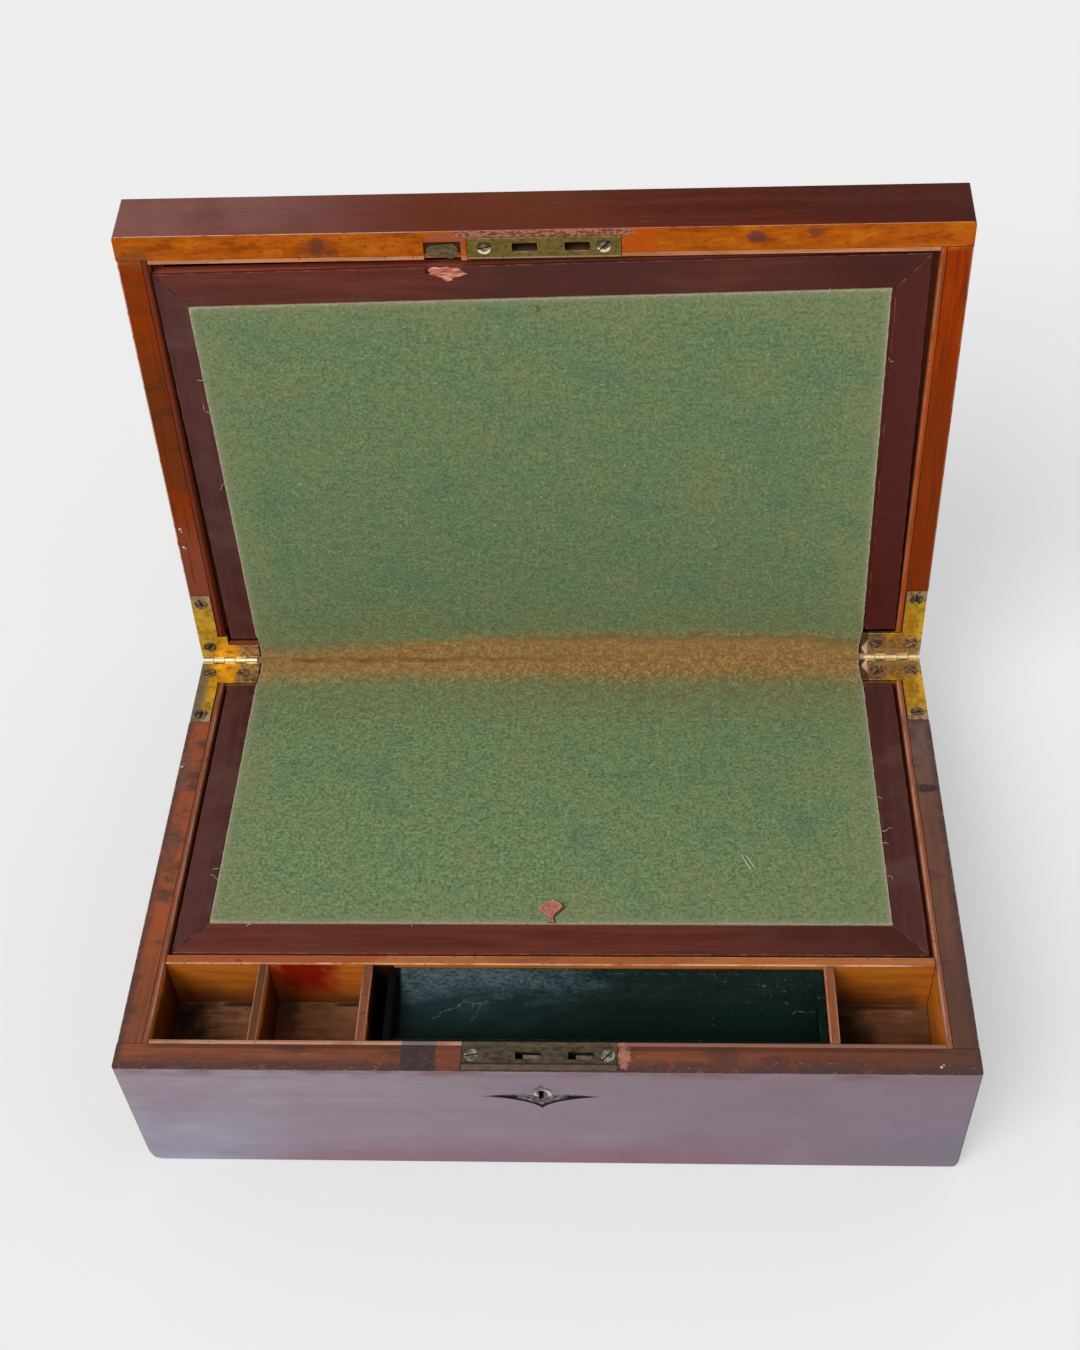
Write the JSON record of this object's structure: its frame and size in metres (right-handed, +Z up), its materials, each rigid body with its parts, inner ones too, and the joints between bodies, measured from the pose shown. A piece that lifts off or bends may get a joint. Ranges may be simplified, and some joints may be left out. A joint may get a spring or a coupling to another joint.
{
  "type": "writing slope",
  "caption": "Wedge-shaped wooden writing box: hinged lid, baize writing flaps over storage wells, pen section with a lift-out tray, corner hinges and a rising-hook lock.",
  "frame": {"origin": "centre of the underside of the base", "axes": "+X to the right seen from the lock side, -Y towards the lock side, +Z up"},
  "size_m": [0.356, 0.2979, 0.2979],
  "materials": {
    "polished_mahogany": "worn dark polish",
    "lining_mahogany": "thin orange-brown lining",
    "flap_mahogany": "dark red-brown border",
    "bay_pine": "bare, ink-stained",
    "tray_paint": "near-black green paint",
    "baize": "worn green wool",
    "brass": "golden, tarnished",
    "dull_brass": "olive tarnish",
    "screw_steel": "dark, worn slots",
    "horn": "black inlay",
    "leather": "faded pink-red"
  },
  "bodies": {
    "base": {"base_front_board": "polished_mahogany", "base_back_board": "polished_mahogany", "base_left_side": "polished_mahogany", "base_right_side": "polished_mahogany", "base_bottom_panel": "polished_mahogany", "base_left_lining": "lining_mahogany", "base_right_lining": "lining_mahogany", "base_front_lining": "lining_mahogany", "base_back_lining": "lining_mahogany", "pen_section_rail": "lining_mahogany", "bay_floor": "bay_pine", "first_bay_divider": "lining_mahogany", "second_bay_divider": "lining_mahogany", "third_bay_divider": "lining_mahogany", "base_fold_baize": "baize", "base_lock_plate": "dull_brass", "base_lock_screw_left": "screw_steel", "base_lock_screw_right": "screw_steel", "lock_case": "dull_brass", "keyhole_escutcheon": "horn", "base_hinge_leaf_left": "brass", "base_hinge_leaf_right": "brass", "base_hinge_screw_left_corner": "screw_steel", "base_hinge_screw_left_side": "screw_steel", "base_hinge_screw_left_back": "screw_steel", "base_hinge_screw_right_corner": "screw_steel", "base_hinge_screw_right_side": "screw_steel", "base_hinge_screw_right_back": "screw_steel"},
    "lid": {"lid_front_board": "polished_mahogany", "lid_back_board": "polished_mahogany", "lid_left_side": "polished_mahogany", "lid_right_side": "polished_mahogany", "lid_top_panel": "polished_mahogany", "lid_left_lining": "lining_mahogany", "lid_right_lining": "lining_mahogany", "lid_front_lining": "lining_mahogany", "lid_lock_plate": "dull_brass", "lid_lock_screw_left": "screw_steel", "lid_lock_screw_right": "screw_steel", "lid_fold_baize": "baize", "lid_hinge_leaf_left": "brass", "lid_hinge_leaf_right": "brass", "lid_hinge_screw_left_corner": "screw_steel", "lid_hinge_screw_left_side": "screw_steel", "lid_hinge_screw_right_corner": "screw_steel", "lid_hinge_screw_right_side": "screw_steel", "lid_hinge_screw_right_back": "screw_steel"},
    "lower_flap": {"lower_flap_board": "flap_mahogany", "lower_flap_baize": "baize", "lower_pull_tab": "leather"},
    "upper_flap": {"upper_flap_board": "flap_mahogany", "upper_flap_baize": "baize", "upper_tab_stub": "leather"},
    "catch": {"flap_catch": "dull_brass"},
    "tray": {"pen_tray": "tray_paint"},
    "carrier": {"lock_carrier": "dull_brass"},
    "hooks": {"lock_hooks": "brass"}
  },
  "joints": [
    {"name": "lid_hinge", "type": "hinge", "parent": "base", "child": "lid", "pos_m": [0, 0.1209, 0.0565], "axis": [-1, 0, 0], "range_deg": [-90, 90]},
    {"name": "lower_flap_lift", "type": "hinge", "parent": "base", "child": "lower_flap", "pos_m": [0, 0.10474, 0.0572], "axis": [-1, 0, 0], "range_deg": [0, 85]},
    {"name": "upper_flap_swing", "type": "hinge", "parent": "lid", "child": "upper_flap", "pos_m": [0.00133, 0.12402, 0.07102], "axis": [0.9999, 0.0016, 0.0125], "range_deg": [0, 85]},
    {"name": "catch_turn", "type": "hinge", "parent": "lid", "child": "catch", "pos_m": [-0.037, 0.14978, 0.28849], "axis": [0, -0.9923, 0.1235], "range_deg": [0, 90]},
    {"name": "tray_lift", "type": "slide", "parent": "base", "child": "tray", "axis": [0, 0, 1], "range_m": [0, 0.05]},
    {"name": "lock_rise", "type": "slide", "parent": "base", "child": "carrier", "axis": [0, 0, 1], "range_m": [0, 0.007]},
    {"name": "lock_throw", "type": "slide", "parent": "carrier", "child": "hooks", "axis": [-1, 0, 0], "range_m": [0, 0.0057]}
  ]
}
